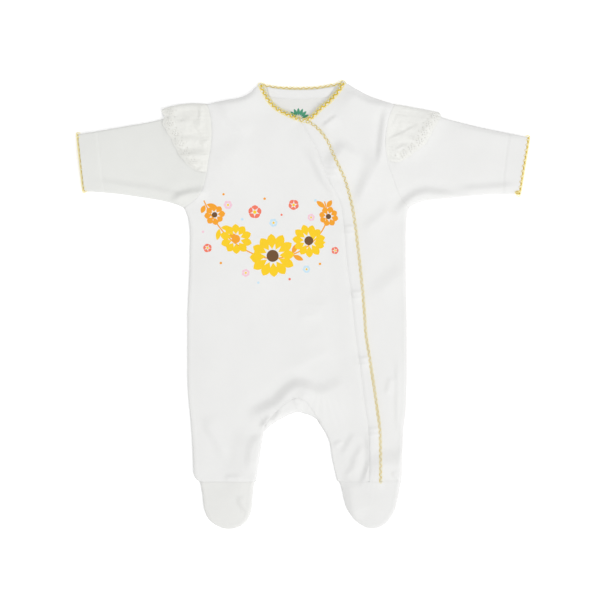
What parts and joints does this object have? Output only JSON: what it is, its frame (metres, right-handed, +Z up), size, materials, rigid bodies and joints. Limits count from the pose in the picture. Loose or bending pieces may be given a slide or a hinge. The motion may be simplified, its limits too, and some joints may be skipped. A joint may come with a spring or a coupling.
{
  "type": "footed baby sleepsuit",
  "caption": "Footed baby sleepsuit of cotton jersey, laid flat, with a diagonal popper placket, scalloped contrast trim and gathered eyelet frills at the sleeve heads",
  "frame": {"origin": "under the middle of the suit, on the surface that it lies on", "axes": "+X to the wearer's left, +Y to the neck, +Z up, out of the front of the suit"},
  "size_m": [0.51, 0.5032, 0.0102],
  "materials": {
    "jersey": "soft matte knit",
    "band": "soft matte knit",
    "eyelet": "matte embroidered cotton",
    "picot": "matte crocheted edging",
    "popper": "satin"
  },
  "bodies": {
    "root": {"back": "jersey", "front_right": "jersey", "front_left": "jersey", "crotch_gusset": "jersey", "sleeve_right": "jersey", "sleeve_left": "jersey", "foot_upper_right": "jersey", "foot_upper_left": "jersey", "foot_sole_right": "jersey", "foot_sole_left": "jersey", "placket_band": "band", "back_neck_tape": "band", "frill_right": "eyelet", "frill_left": "eyelet", "front_trim": "picot", "neck_trim_left": "picot", "neck_trim_back": "picot", "cuff_trim_right": "picot", "cuff_trim_left": "picot", "popper_1": "popper", "popper_2": "popper", "popper_3": "popper", "popper_4": "popper", "popper_5": "popper"}
  },
  "joints": []
}
